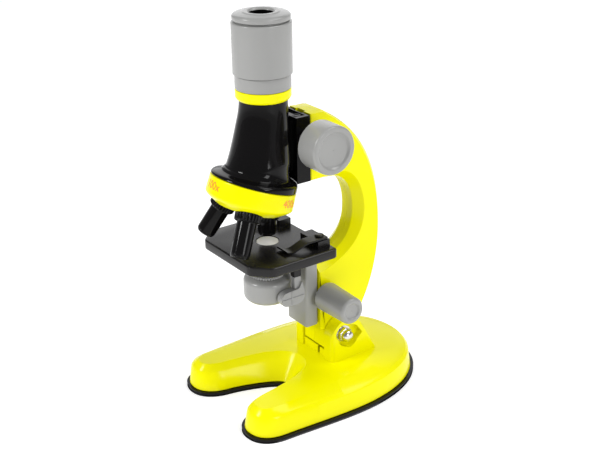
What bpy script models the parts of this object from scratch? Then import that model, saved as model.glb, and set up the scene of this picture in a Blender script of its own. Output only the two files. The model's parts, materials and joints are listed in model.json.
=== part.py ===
"""A toy microscope: horseshoe base, tilting arm, rack focusing, three-lens turret, rack stage and lamp.

Every length below is in millimetres and becomes metres when a node is made. +Z is up, the front is -Y, and
the origin is on the floor under the middle of the base. X is across, and the object is symmetrical about x = 0.
"""

import math

import bmesh
import bpy
from mathutils import Matrix, Vector

MM = 0.001
GAP = 0.3
SEGMENTS = 32

# Base
PLATE_TOP = 2.4
SHELL_BOTTOM = 2.7
DECK = 17.0
WALL = 1.8
BEZIER_STEPS = 6

# Tilt hinge between the ears
HINGE_Y = 12.4
HINGE_Z = 31.2
EAR_INNER = 10.3
EAR_OUTER = 18.2
EAR_RADIUS = 11.0
BOLT_RADIUS = 2.0

# Arm
ARM_HALF = 9.6
SEAM = 0.15
HEAD_FRONT = -5.8
HEAD_TOP = 164.4
HEAD_BOTTOM = 127.3
ARM_FRONT = -0.9
FOOT_RADIUS = 12.8
FOOT_FRONT = 2.3
ARM_SCREWS = [(11.0, 147.5), (34.5, 95.0), (27.0, 57.0)]

# Racks and pinions, both of one size
MODULE = 0.8
PINION_TEETH = 9
PITCH_RADIUS = MODULE * PINION_TEETH / 2
RACK_PITCH = math.pi * MODULE
ADDENDUM = 0.5
DEDENDUM = 0.8
TOOTH_HALF = 0.42
SHAFT_RADIUS = 2.0

# Focus drive, carried by the tube
FOCUS_Y = -9.65
FOCUS_Z = 152.15
FOCUS_KNOB_RADIUS = 13.0
FOCUS_KNOB_FACE = 35.5
RACK_END = HEAD_TOP - 1.9

# Stage drive, carried by the arm
STAGE_KNOB_Y = 2.0
STAGE_KNOB_Z = 57.5

# Tube and eyepiece
TUBE_Y = -28.3
TUBE_REAR = -15.7
TUBE_TOP = 175.0
COLLAR_TOP = 180.8
SLEEVE_TOP = 188.2
BARREL_TOP = 214.9
TOTAL_HEIGHT = 220.0

# Turret: its axis leans forward, so that one objective at a time stands upright under the tube
TURRET_TILT = math.radians(19.2)
TURRET_CENTRE = Vector((0.0, -40.03, 118.85))
TURRET_AXIS = Vector((0.0, -math.sin(TURRET_TILT), -math.cos(TURRET_TILT)))
TURRET_BACK = Vector((0.0, math.cos(TURRET_TILT), -math.sin(TURRET_TILT)))
TURRET_TOP = -12.6
TUBE_FLANGE = [
    (-17.6, 13.0, 18.2),
    (-16.5, 14.5, 20.6),
    (-15.9, 15.0, 22.2),
    (-15.2, 15.5, 22.9),
    (TURRET_TOP - GAP, 19.2, 23.1),
]
OBJECTIVE_RING = 12.5
OBJECTIVE_LENGTHS = {"100": 14.9, "1200": 25.0, "400": 22.6}

# Stage
STAGE_HALF = 31.1
STAGE_FRONT = -54.8
STAGE_REAR = -4.3
STAGE_TOP = 95.4
STAGE_THICK = 5.6
STAGE_BOTTOM = STAGE_TOP - STAGE_THICK
COLUMN_HALF = 9.16
COLUMN_FRONT = -9.8
COLUMN_REAR = -1.5
COLUMN_BOTTOM = 39.8
CLIP_X = 22.0
CLIP_Y = -10.0
CLIP_BLOCK_TOP = 99.6

# Lamp
LAMP_Y = -29.2
LAMP_Z = 66.9
LAMP_RADIUS = 13.0
LAMP_BOTTOM = 61.3
YOKE_INNER = 14.0
YOKE_OUTER = 18.2


# ---------------------------------------------------------------- materials


def make_material(name, color, roughness, metallic=0.0):
    material = bpy.data.materials.new(name)
    material.use_nodes = True
    shader = material.node_tree.nodes["Principled BSDF"]
    shader.inputs["Base Color"].default_value = (*color, 1.0)
    shader.inputs["Roughness"].default_value = roughness
    shader.inputs["Metallic"].default_value = metallic
    material.diffuse_color = (*color, 1.0)
    return material


# ---------------------------------------------------------------- shapes


def bezier(start, handle_a, handle_b, end, steps):
    """Points of a cubic curve, without its end point."""
    points = []
    for step in range(steps):
        t = step / steps
        weights = ((1 - t) ** 3, 3 * t * (1 - t) ** 2, 3 * t * t * (1 - t), t**3)
        corners = (start, handle_a, handle_b, end)
        points.append(tuple(sum(w * c[i] for w, c in zip(weights, corners)) for i in (0, 1)))
    return points


def arc(centre, radius, start, end, steps):
    """Points on a circle from one angle to another, in degrees, both ends included."""
    angles = [math.radians(start + (end - start) * i / steps) for i in range(steps + 1)]
    return [(centre[0] + radius * math.cos(a), centre[1] + radius * math.sin(a)) for a in angles]


def offset(points, distance):
    """Move a closed outline's points inwards, towards the side on its left, along their normals."""
    moved = []
    count = len(points)
    for i, point in enumerate(points):
        before = Vector(point) - Vector(points[i - 1])
        after = Vector(points[(i + 1) % count]) - Vector(point)
        along = before.normalized() + after.normalized()
        along.normalize()
        amount = distance[i] if isinstance(distance, list) else distance
        moved.append((point[0] - along.y * amount, point[1] + along.x * amount))
    return moved


def loft(rings):
    """A closed solid through rings of equal length, with a flat face at each end."""
    mesh = bmesh.new()
    made = [[mesh.verts.new(point) for point in ring] for ring in rings]
    count = len(rings[0])
    for low, high in zip(made, made[1:]):
        for i in range(count):
            j = (i + 1) % count
            mesh.faces.new((low[i], low[j], high[j], high[i]))
    mesh.faces.new(list(reversed(made[0])))
    mesh.faces.new(made[-1])
    bmesh.ops.recalc_face_normals(mesh, faces=mesh.faces)
    return mesh


def turned(profile, segments=SEGMENTS):
    """A solid of revolution about Z from a closed outline of (radius, height) points, 0 being the axis."""
    mesh = bmesh.new()
    rings = []
    for radius, height in profile:
        if radius == 0:
            rings.append([mesh.verts.new((0, 0, height))])
            continue
        angles = [2 * math.pi * i / segments for i in range(segments)]
        rings.append([mesh.verts.new((radius * math.cos(a), radius * math.sin(a), height)) for a in angles])
    for ring, following in zip(rings, rings[1:] + rings[:1]):
        if len(ring) == 1 and len(following) == 1:
            continue
        for i in range(segments):
            j = (i + 1) % segments
            if len(ring) == 1:
                mesh.faces.new((ring[0], following[i], following[j]))
            elif len(following) == 1:
                mesh.faces.new((ring[i], following[0], ring[j]))
            else:
                mesh.faces.new((ring[i], following[i], following[j], ring[j]))
    bmesh.ops.recalc_face_normals(mesh, faces=mesh.faces)
    return mesh


def cylinder(radius, low, high, segments=SEGMENTS):
    return turned([(0, low), (radius, low), (radius, high), (0, high)], segments)


def box(low, high, bevel=0.0, upright_only=False):
    mesh = bmesh.new()
    bmesh.ops.create_cube(mesh, size=1.0)
    size = [b - a for a, b in zip(low, high)]
    middle = [(a + b) / 2 for a, b in zip(low, high)]
    placed = Matrix.Translation(middle) @ Matrix.Diagonal((*size, 1))
    bmesh.ops.transform(mesh, matrix=placed, verts=mesh.verts)
    if bevel:
        edges = mesh.edges
        if upright_only:
            edges = [e for e in mesh.edges if abs(e.verts[0].co.z - e.verts[1].co.z) > 1e-6]
        bmesh.ops.bevel(mesh, geom=list(edges), offset=bevel, segments=2, profile=0.5, affect="EDGES")
    return mesh


def prism_x(outline, low, high):
    """Extrude an outline of (y, z) points along X."""
    return loft([[(low, y, z) for y, z in outline], [(high, y, z) for y, z in outline]])


def prism_z(outline, low, high):
    """Extrude an outline of (x, y) points along Z."""
    return loft([[(x, y, low) for x, y in outline], [(x, y, high) for x, y in outline]])


def moved(mesh, x=0.0, y=0.0, z=0.0):
    bmesh.ops.translate(mesh, vec=(x, y, z), verts=mesh.verts)
    return mesh


def aimed(mesh, origin, direction):
    """Turn a shape made about Z so that its +Z points along a direction from an origin."""
    turn = Vector((0, 0, 1)).rotation_difference(Vector(direction)).to_matrix().to_4x4()
    bmesh.ops.transform(mesh, matrix=Matrix.Translation(origin) @ turn, verts=mesh.verts)
    return mesh


def along_x(mesh, x, y, z, side=1):
    return aimed(mesh, Vector((x, y, z)), Vector((side, 0, 0)))


def mirrored(mesh):
    bmesh.ops.scale(mesh, vec=(-1, 1, 1), verts=mesh.verts)
    bmesh.ops.reverse_faces(mesh, faces=mesh.faces)
    return mesh


def combine(base, others, operation):
    """Join or cut meshes with exact Booleans and return the result."""
    scratch = []
    for mesh in [base] + others:
        data = bpy.data.meshes.new("scratch")
        bmesh.ops.recalc_face_normals(mesh, faces=mesh.faces)
        mesh.to_mesh(data)
        mesh.free()
        thing = bpy.data.objects.new("scratch", data)
        bpy.context.scene.collection.objects.link(thing)
        scratch.append(thing)
    for cutter in scratch[1:]:
        modifier = scratch[0].modifiers.new("combine", "BOOLEAN")
        modifier.operation = operation
        modifier.solver = "EXACT"
        modifier.object = cutter
    bpy.context.view_layer.update()
    evaluated = scratch[0].evaluated_get(bpy.context.evaluated_depsgraph_get())
    result = bmesh.new()
    result.from_mesh(evaluated.to_mesh())
    evaluated.to_mesh_clear()
    for thing in scratch:
        data = thing.data
        bpy.data.objects.remove(thing)
        bpy.data.meshes.remove(data)
    bmesh.ops.remove_doubles(result, verts=result.verts, dist=0.0001)
    return result


def cut(base, *cutters):
    return combine(base, list(cutters), "DIFFERENCE")


def join(base, *others):
    return combine(base, list(others), "UNION")


def make_node(name, mesh, material, pivot=(0.0, 0.0, 0.0)):
    """Make the named object, in metres, with its origin at the pivot that is given in millimetres."""
    bmesh.ops.dissolve_degenerate(mesh, edges=mesh.edges, dist=0.0001)
    bmesh.ops.triangulate(mesh, faces=[face for face in mesh.faces if len(face.verts) > 4])
    bmesh.ops.translate(mesh, vec=-Vector(pivot), verts=mesh.verts)
    bmesh.ops.scale(mesh, vec=(MM, MM, MM), verts=mesh.verts)
    bmesh.ops.recalc_face_normals(mesh, faces=mesh.faces)
    data = bpy.data.meshes.new(name)
    mesh.to_mesh(data)
    mesh.free()
    data.materials.append(material)
    data.shade_smooth()
    data.set_sharp_from_angle(angle=math.radians(32))
    node = bpy.data.objects.new(name, data)
    node.location = Vector(pivot) * MM
    bpy.context.scene.collection.objects.link(node)
    return node


# ---------------------------------------------------------------- base


def base_outline(insets):
    """The horseshoe seen from above, pulled in by six amounts.

    The amounts apply at the rear, the side, the outer foot, the toe, the inner foot and the crotch, and
    blend between those places.
    """
    curves = [
        ((0, 63.8), (28.2, 63.8), (46.3, 38.9), (46.3, 0)),
        ((46.3, 0), (46.3, -16), (44.0, -33), (43.2, -49)),
        ((43.2, -49), (42.4, -58.5), (37.5, -63.8), (28.5, -63.8)),
        ((28.5, -63.8), (20.0, -63.8), (14.9, -56.5), (13.8, -48.5)),
        ((13.8, -48.5), (12.6, -40.0), (5.0, -18.9), (0, -18.9)),
    ]
    right, amounts = [], []
    for curve, first, last in zip(curves, insets, insets[1:]):
        right += bezier(*curve, BEZIER_STEPS)
        for step in range(BEZIER_STEPS):
            t = step / BEZIER_STEPS
            amounts.append(first + (last - first) * t * t * (3 - 2 * t))
    right.append(curves[-1][3])
    amounts.append(insets[-1])
    left = [(-x, y) for x, y in reversed(right[1:-1])]
    outline = right + left
    amounts = amounts + list(reversed(amounts[1:-1]))
    return offset(outline, [-amount for amount in amounts])


def base_body(extra, bottom, top):
    """The leaning walls and bevelled deck, or with extra inset the hollow inside them."""
    levels = [
        (bottom, (1.2, 1.2, 1.0, 1.0, 1.0, 1.2)),
        (12.6, (2.6, 2.8, 2.2, 2.4, 3.4, 8.0)),
        (14.4, (4.0, 4.6, 3.2, 3.6, 4.8, 9.4)),
        (top, (11.0, 14.0, 7.5, 6.5, 7.5, 12.0)),
    ]
    rings = []
    for height, insets in levels:
        lowered = min(height, height - extra) if extra and height > bottom else height
        outline = base_outline([inset + extra for inset in insets])
        rings.append([(x, y, lowered) for x, y in outline])
    return loft(rings)


def ear_outline():
    corner = (33.6, DECK - 1.2)
    top = arc((HINGE_Y, HINGE_Z), EAR_RADIUS, 30, 180, 14)
    return [corner] + top + [(HINGE_Y - EAR_RADIUS, DECK - 1.2)]


def ear():
    """The right ear, with its outer front corner rounded."""
    front = HINGE_Y - EAR_RADIUS
    radius = 2.5
    curve = arc((EAR_OUTER - radius, front + radius), radius, -90, 0, 5)
    corner = prism_z([(EAR_OUTER + 1, front - 1)] + list(reversed(curve)), DECK - 2, 50)
    return cut(prism_x(ear_outline(), EAR_INNER, EAR_OUTER), corner)


def nut_recess():
    """The recess round the hinge nut: three arcs about the hinge and a corner towards the rear."""
    centre = (HINGE_Y, HINGE_Z)
    outline = arc(centre, 9.0, 118, 166, 3)
    outline += arc(centre, 6.5, 186, 230, 3)
    outline += arc(centre, 7.8, 280, 330, 3)
    return outline + [(23.0, 30.6), (18.8, 36.4), (14.4, 38.4)]


BASE_SCREWS = [(30.0, -45.0), (-30.0, -45.0), (33.0, 22.0), (-33.0, 22.0)]
BATTERY_X = 6.2
BATTERY_RADIUS = 5.25
BATTERY_LENGTH = 44.5
BATTERY_Z = 8.5
BATTERY_START = 8.2
DOOR = ((-15.0, 5.0), (15.0, 55.0))


def make_base(yellow, black, steel, cell):
    hollow = base_body(WALL, SHELL_BOTTOM - 2.0, DECK)
    shell = cut(base_body(0.0, SHELL_BOTTOM, DECK), hollow)
    ears = [ear(), mirrored(ear())]
    stops = [
        box((-EAR_INNER - 0.5, 2.7, DECK - 1.2), (2.6, 3.45, 21.5)),
        box((4.4, 2.7, DECK - 1.2), (EAR_INNER + 0.5, 3.45, 21.3)),
    ]
    bosses = [moved(cylinder(3.2, SHELL_BOTTOM + 0.4, DECK - 1.0, 20), x, y) for x, y in BASE_SCREWS]
    shell = join(shell, *ears, *stops, *bosses)
    bolt_hole = along_x(cylinder(BOLT_RADIUS + GAP, -25, 25, 24), 0, HINGE_Y, HINGE_Z)
    nut_pocket = prism_x(nut_recess(), 14.0, EAR_OUTER + 1)
    head_pocket = along_x(cylinder(4.6, -EAR_OUTER - 1, -14.2, 28), 0, HINGE_Y, HINGE_Z)
    pilots = [moved(cylinder(1.5, 0, 11.5, 16), x, y) for x, y in BASE_SCREWS]
    shell = cut(shell, bolt_hole, nut_pocket, head_pocket, *pilots)
    make_node("base_shell", shell, yellow)

    plate = prism_z(base_outline([0.0] * 6), 0.0, PLATE_TOP)
    (left, front), (right, rear) = DOOR
    opening = box((left, front, -1), (right, rear, PLATE_TOP + 1))
    holes = [moved(cylinder(1.6, -1, 4, 16), x, y) for x, y in BASE_SCREWS]
    sinks = [moved(cylinder(3.1, -1, 1.4, 20), x, y) for x, y in BASE_SCREWS]
    door_boss_hole = moved(cylinder(1.3, -1, 4, 16), 0, rear - 2.2)
    tab = box((-4.0, rear - 4.6, 1.4), (4.0, rear + 0.5, PLATE_TOP))
    plate = cut(join(cut(plate, opening), tab), *holes, *sinks, door_boss_hole)
    make_node("base_plate", plate, black)

    door = box((left + GAP, front + GAP, 0.6), (right - GAP, rear - GAP, 1.1))
    ribs = [box((-11.0, y, 0.8), (11.0, y + 1.0, 1.9)) for y in (18.0, 30.0, 42.0)]
    door = cut(join(door, *ribs), moved(cylinder(1.4, -1, 3, 16), 0, rear - 2.2))
    make_node("battery_door", door, black)
    screw = turned([(0, 0.1), (2.2, 0.1), (2.2, 0.4), (1.0, 0.4), (1.0, 3.0), (0, 3.0)], 16)
    make_node("battery_door_screw", moved(screw, 0, rear - 2.2), steel)

    for i, (x, y) in enumerate(BASE_SCREWS, 1):
        screw = turned([(0, 0.2), (2.7, 0.2), (2.7, 1.1), (1.2, 1.1), (1.2, 10.5), (0, 10.5)], 20)
        make_node(f"base_screw_{i}", moved(screw, x, y), steel)

    for name, side in (("battery_left", -1), ("battery_right", 1)):
        end = BATTERY_LENGTH - 0.9
        nib = [(0, 0), (BATTERY_RADIUS, 0), (BATTERY_RADIUS, end), (1.9, end)]
        body = turned(nib + [(1.9, BATTERY_LENGTH), (0, BATTERY_LENGTH)], 24)
        if side > 0:
            turn = Matrix.Rotation(math.pi, 3, "X")
            bmesh.ops.rotate(body, cent=(0, 0, BATTERY_LENGTH / 2), matrix=turn, verts=body.verts)
        body = aimed(body, Vector((side * BATTERY_X, BATTERY_START, BATTERY_Z)), Vector((0, 1, 0)))
        make_node(name, body, cell)
    rear_y = BATTERY_START + BATTERY_LENGTH + GAP
    link = box((-11.0, rear_y, 4.5), (11.0, rear_y + 0.5, 12.5))
    make_node("battery_link", link, steel)
    for name, side in (("battery_contact_left", -1), ("battery_contact_right", 1)):
        low, high = sorted((side * 2.0, side * 10.5))
        contact = box((low, BATTERY_START - GAP - 0.5, 4.5), (high, BATTERY_START - GAP, 12.5))
        make_node(name, contact, steel)

    head = [(0, -17.9), (2.6, -17.7), (3.9, -16.6), (3.9, -14.6), (BOLT_RADIUS, -14.6)]
    end = [(BOLT_RADIUS, 17.4), (1.6, 17.9), (0, 17.9)]
    bolt = along_x(turned(head + end, 24), 0, HINGE_Y, HINGE_Z)
    make_node("hinge_bolt", bolt, steel)
    hexagon = turned([(0, 14.3), (4.3, 14.3), (4.3, 17.0), (0, 17.0)], 6)
    dome = turned([(0, 16.5), (3.6, 16.5), (3.6, 18.0), (3.2, 19.2), (2.2, 20.0), (0, 20.4)], 24)
    nut = cut(join(hexagon, dome), cylinder(2.3, 13.0, 18.3, 24))
    make_node("hinge_nut", along_x(nut, 0, HINGE_Y, HINGE_Z), steel)


# ---------------------------------------------------------------- arm


def arm_outlines():
    """Two matching outlines of (y, z): the arm's middle, and its side face inside the bevelled edges.

    With each pair of points goes the distance from the seam at which the bevel begins.
    """
    steps = 6
    front_x, outer_x, inner_x = 9.0, 7.0, 4.6
    middle = [(HEAD_FRONT, HEAD_BOTTOM), (HEAD_FRONT, HEAD_TOP)]
    side = [(HEAD_FRONT + 0.6, HEAD_BOTTOM + 0.6), (HEAD_FRONT + 0.6, HEAD_TOP - 0.6)]
    depth = [front_x, front_x]
    middle += bezier((3.4, HEAD_TOP), (34.85, 146.7), (42.8, 119.7), (42.8, 88.0), steps + 2)
    side += bezier((2.8, HEAD_TOP - 0.6), (32.5, 145.5), (40.5, 118.5), (40.5, 88.0), steps + 2)
    depth += [outer_x] * (steps + 2)
    middle += bezier((42.8, 88.0), (42.8, 72.0), (38.2, 55.2), (31.6, 43.8), steps)
    side += bezier((40.5, 88.0), (40.5, 72.4), (36.1, 56.4), (29.8, 45.2), steps)
    depth += [outer_x] * steps
    middle += [(31.6, 43.8)]
    side += [(29.8, 45.2)]
    depth += [outer_x]
    middle += arc((HINGE_Y, HINGE_Z), FOOT_RADIUS, 0, -142.1, 12)
    side += arc((HINGE_Y, HINGE_Z), FOOT_RADIUS - 0.5, 0, -142.1, 12)
    middle += [(FOOT_FRONT, 34.9), (ARM_FRONT, 35.6)]
    side += [(FOOT_FRONT + 0.5, 35.4), (ARM_FRONT + 0.5, 36.1)]
    depth += [front_x] * 15
    middle += bezier((ARM_FRONT, 75.8), (15.0, 78.0), (25.8, 85.0), (25.8, 102.5), steps)
    side += bezier((ARM_FRONT + 0.3, 71.2), (12.0, 74.5), (30.0, 81.0), (30.6, 102.0), steps)
    depth += [inner_x] * steps
    middle += bezier((25.8, 102.5), (25.8, 114.0), (21.0, 124.2), (11.0, 124.6), steps)
    side += bezier((30.6, 102.0), (30.6, 114.0), (24.5, 128.3), (13.0, 128.4), steps)
    depth += [inner_x] * steps
    middle += [(11.0, 124.6), (2.0, HEAD_BOTTOM)]
    side += [(13.0, 128.4), (2.4, HEAD_BOTTOM + 0.6)]
    depth += [inner_x, front_x]
    return middle, side, depth


def arm_half():
    """The right half, from the seam outwards, with a hollow inside it."""
    middle, side, depth = arm_outlines()
    seam = [(SEAM, y, z) for y, z in middle]
    edge = [(x, y, z) for x, (y, z) in zip(depth, middle)]
    face = [(ARM_HALF, y, z) for y, z in side]
    solid = loft([seam, edge, face])
    inner_middle = offset(middle, -2.4)
    inner_side = offset(side, -2.4)
    pocket = loft(
        [
            [(-1.0, y, z) for y, z in inner_middle],
            [(min(x, 7.4) - 1.6, y, z) for x, (y, z) in zip(depth, inner_middle)],
            [(ARM_HALF - 2.0, y, z) for y, z in inner_side],
        ]
    )
    solid = cut(solid, pocket)
    posts = [along_x(cylinder(3.4, SEAM, ARM_HALF - 1.5, 20), 0, y, z) for y, z in ARM_SCREWS]
    hub = along_x(cylinder(5.4, SEAM, ARM_HALF - 1.0, 28), 0, HINGE_Y, HINGE_Z)
    spacer = along_x(cylinder(3.6, 4.2, ARM_HALF - 1.0, 24), 0, STAGE_KNOB_Y + 0.2, STAGE_KNOB_Z)
    return join(solid, *posts, hub, spacer)


def arm_cuts():
    """Openings that both halves share: hinge bore, shaft bore, pinion window and the focus rack's channel."""
    return [
        along_x(cylinder(BOLT_RADIUS + GAP, -12, 12, 24), 0, HINGE_Y, HINGE_Z),
        along_x(cylinder(SHAFT_RADIUS + GAP, -12, 12, 24), 0, STAGE_KNOB_Y, STAGE_KNOB_Z),
        box((-4.0, -3.0, 52.5), (4.0, 7.0, 62.5)),
        box((-3.5, HEAD_FRONT - 1, HEAD_BOTTOM - 1), (3.5, -2.2, RACK_END)),
        box((-3.5, HEAD_FRONT - 1, RACK_END - 1), (3.5, HEAD_FRONT + 1.2, HEAD_TOP + 1)),
    ]


def rack_outline(start, end, root, back):
    """A rack's side, in (across, along) points: teeth towards +across from a pitch line at 0."""
    points = [(back, end), (back, start)]
    count = int((end - start) / RACK_PITCH)
    slope = math.tan(math.radians(20))
    for i in range(count):
        centre = start + (i + 0.5) * RACK_PITCH
        foot = TOOTH_HALF + DEDENDUM * slope
        tip = TOOTH_HALF - ADDENDUM * slope
        points += [(root, centre - foot), (ADDENDUM, centre - tip)]
        points += [(ADDENDUM, centre + tip), (root, centre + foot)]
    return points


def pinion_outline():
    """Nine straight-sided teeth, one of them centred on the +across direction."""
    points = []
    tooth = 2 * math.pi / PINION_TEETH
    root, tip = PITCH_RADIUS - DEDENDUM, PITCH_RADIUS + ADDENDUM
    for i in range(PINION_TEETH):
        for radius, half, sign in ((root, 0.62, -1), (tip, 0.24, -1), (tip, 0.24, 1), (root, 0.62, 1)):
            angle = i * tooth + sign * half / radius
            points.append((radius * math.cos(angle), radius * math.sin(angle)))
    return points


def pinion(y, z, facing):
    """The toothed length of a shaft, with a tooth space centred on the rack that it faces."""
    turn = math.pi if facing < 0 else 0.0
    turn += math.pi / PINION_TEETH
    outline = []
    for across, up in pinion_outline():
        outline.append(
            (
                y + across * math.cos(turn) - up * math.sin(turn),
                z + across * math.sin(turn) + up * math.cos(turn),
            )
        )
    return prism_x(outline, -2.8, 2.8)


def rack(y_pitch, z_centre, facing, start, end, back):
    """A rack with one tooth centred at the height of its pinion's axis."""
    below = math.ceil((z_centre - start) / RACK_PITCH - 0.5) + 0.5
    first = z_centre - below * RACK_PITCH
    points = rack_outline(first, end, -DEDENDUM, back)
    outline = [(y_pitch + facing * across, along) for across, along in points]
    if facing < 0:
        outline.reverse()
    return prism_x(outline, -2.8, 2.8)


def make_arm(yellow, grey, steel):
    right = cut(
        arm_half(),
        *arm_cuts(),
        *[along_x(cylinder(1.4, -1, 6.6, 16), 0, y, z) for y, z in ARM_SCREWS],
    )
    make_node("arm_right", right, yellow, (0, HINGE_Y, HINGE_Z))
    left = cut(
        mirrored(arm_half()),
        *arm_cuts(),
        *[along_x(cylinder(1.5, -12, 1, 16), 0, y, z) for y, z in ARM_SCREWS],
        *[along_x(cylinder(3.0, -12, -6.0, 20), 0, y, z) for y, z in ARM_SCREWS],
    )
    make_node("arm_left", left, yellow, (0, HINGE_Y, HINGE_Z))
    for i, (y, z) in enumerate(ARM_SCREWS, 1):
        screw = turned([(0, -8.2), (2.6, -8.2), (2.7, -6.3), (1.1, -6.3), (1.1, 6.2), (0, 6.2)], 16)
        make_node(f"arm_screw_{i}", along_x(screw, 0, y, z), steel)
    focus_rack = rack(FOCUS_Y + PITCH_RADIUS, FOCUS_Z, -1, HEAD_BOTTOM + 1.5, RACK_END - GAP, -3.5)
    make_node("focus_rack", focus_rack, grey)


# ---------------------------------------------------------------- tube, focus drive and eyepiece


def level_ring(height, radius, grow=0.0, count=SEGMENTS):
    """A level circle whose rear always lies on the tube's straight back line."""
    centre = TUBE_REAR - radius
    ring = []
    for i in range(count):
        angle = 2 * math.pi * i / count
        reach = radius + grow
        ring.append((reach * math.sin(angle), centre + reach * math.cos(angle), height))
    return ring


def ring_at(along, lean, radius, grow=0.0, count=SEGMENTS):
    """A circle centred at a distance along the turret's axis, leaning forward by an angle in degrees."""
    centre = TURRET_CENTRE + TURRET_AXIS * along
    back = Vector((0, math.cos(math.radians(lean)), -math.sin(math.radians(lean))))
    ring = []
    for i in range(count):
        angle = 2 * math.pi * i / count
        reach = radius + grow
        sideways = Vector((reach * math.sin(angle), 0, 0))
        ring.append(tuple(centre + sideways + back * (reach * math.cos(angle))))
    return ring


def tube_solid(grow=0.0):
    levels = [(TUBE_TOP + grow, 12.6), (169.0, 12.9), (163.9, 13.5)]
    levels += [(157.0, 14.4), (150.8, 15.2), (145.5, 16.0)]
    rings = [level_ring(height, radius, grow) for height, radius in levels]
    rings.append(level_ring(142.0, 16.65, grow))
    for along, lean, radius in TUBE_FLANGE:
        rings.append(ring_at(along, lean, radius, grow))
    return loft(rings)


def make_tube(black, yellow, grey, steel):
    bore = moved(turned([(0, 110), (3.9, 110), (3.9, 146), (9.5, 152), (9.5, 180), (0, 180)], 28), 0, TUBE_Y)
    pivot_hole = aimed(cylinder(1.9, TURRET_TOP - 3.8, TURRET_TOP + 2, 16), TURRET_CENTRE, TURRET_AXIS)
    make_node("tube_body", cut(tube_solid(), bore, pivot_hole), black)

    rear = HEAD_FRONT - GAP
    side = [(rear, HEAD_BOTTOM + 0.1), (-14.6, HEAD_BOTTOM + 0.1), (-14.6, 163.8), (rear, 163.8)]
    carriage = join(
        prism_x(side, -ARM_HALF, ARM_HALF),
        box((-5.4, -16.6, 134.0), (5.4, -14.0, 162.0)),
    )
    carriage = cut(
        carriage,
        tube_solid(GAP),
        box((-7.6, -14.0, 162.7), (7.6, -7.8, 170.0)),
        box((-3.6, -7.2, 120.0), (3.6, -5.0, 170.0)),
    )
    boss = moved(cylinder(2.4, 160.0, 163.7, 20), 4.6, -11.2)
    carriage = cut(
        join(carriage, boss),
        box((-3.6, -14.1, FOCUS_Z - 4.8), (3.6, -5.0, FOCUS_Z + 4.8)),
        along_x(cylinder(SHAFT_RADIUS + GAP, -12, 12, 20), 0, FOCUS_Y, FOCUS_Z),
    )
    make_node("tube_carriage", carriage, black)

    shaft = join(
        along_x(cylinder(SHAFT_RADIUS, -24.0, 24.0, 24), 0, FOCUS_Y, FOCUS_Z),
        pinion(FOCUS_Y, FOCUS_Z, 1),
    )
    make_node("focus_shaft", shaft, steel, (0, FOCUS_Y, FOCUS_Z))
    rim, face = FOCUS_KNOB_RADIUS, FOCUS_KNOB_FACE
    profile = [
        (SHAFT_RADIUS + 0.2, 10.1),
        (4.0, 10.1),
        (4.0, 21.5),
        (rim - 0.9, 21.5),
        (rim, 22.4),
        (rim, face - 1.3),
        (rim - 0.5, face - 0.4),
        (rim - 1.5, face),
        (10.0, face),
        (8.9, face - 1.3),
        (0, face - 1.3),
        (0, 24.4),
        (SHAFT_RADIUS + 0.2, 24.4),
    ]
    for name, side in (("focus_knob_right", 1), ("focus_knob_left", -1)):
        knob = along_x(turned(profile), 0, FOCUS_Y, FOCUS_Z, side)
        make_node(name, knob, grey, (0, FOCUS_Y, FOCUS_Z))

    low = TUBE_TOP + GAP
    collar = [(9.7, low), (13.6, low), (14.5, low + 1.3), (14.5, COLLAR_TOP), (9.7, COLLAR_TOP)]
    make_node("tube_collar", moved(turned(collar), 0, TUBE_Y), yellow)
    low = COLLAR_TOP + GAP
    sleeve = [(9.7, low), (14.5, low), (14.5, SLEEVE_TOP), (9.7, SLEEVE_TOP)]
    make_node("eyepiece_sleeve", moved(turned(sleeve), 0, TUBE_Y), grey)
    end = TURRET_TOP - 3.2
    screw = turned([(0, end), (1.6, end), (1.6, 2.0), (3.6, 2.0), (3.6, 3.4), (0, 3.4)], 20)
    make_node("turret_pivot_screw", aimed(screw, TURRET_CENTRE, TURRET_AXIS), steel)


def make_eyepiece(grey, glass):
    low = SLEEVE_TOP + GAP
    barrel = [
        (7.6, 178.0),
        (9.3, 178.0),
        (9.3, low),
        (15.0, low),
        (15.36, low + 0.4),
        (15.36, BARREL_TOP - 0.2),
        (14.9, BARREL_TOP + 0.2),
        (13.4, BARREL_TOP + 0.2),
        (13.4, BARREL_TOP + 0.7),
        (7.6, BARREL_TOP + 0.7),
    ]
    make_node("eyepiece_barrel", moved(turned(barrel), 0, TUBE_Y), grey)
    lid_low = BARREL_TOP + 1.0
    lid = [
        (6.2, lid_low),
        (14.5, lid_low),
        (14.8, lid_low + 0.5),
        (14.8, 218.0),
        (13.9, 218.9),
        (11.5, 219.6),
        (9.2, TOTAL_HEIGHT),
        (7.0, TOTAL_HEIGHT),
        (6.2, 219.2),
    ]
    make_node("eyepiece_lid", moved(turned(lid), 0, TUBE_Y), grey)
    eye = [(0, 210.5), (3.5, 210.8), (7.2, 212.0), (7.2, 213.0), (3.5, 214.0), (0, 214.3)]
    make_node("eye_lens", moved(turned(eye, 28), 0, TUBE_Y), glass)
    field = [(0, 179.0), (7.2, 180.0), (7.2, 181.0), (0, 181.8)]
    make_node("field_lens", moved(turned(field, 28), 0, TUBE_Y), glass)


# ---------------------------------------------------------------- turret


def objective_axes():
    """Where each objective leaves the turret, and the way it points, in order round the turret."""
    axes = {}
    for i, power in enumerate(OBJECTIVE_LENGTHS):
        angle = 2 * math.pi * i / 3
        outward = TURRET_BACK * math.cos(angle) + Vector((math.sin(angle), 0, 0))
        start = TURRET_CENTRE + outward * OBJECTIVE_RING
        axes[power] = (start, TURRET_AXIS * math.cos(TURRET_TILT) + outward * math.sin(TURRET_TILT))
    return axes


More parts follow.
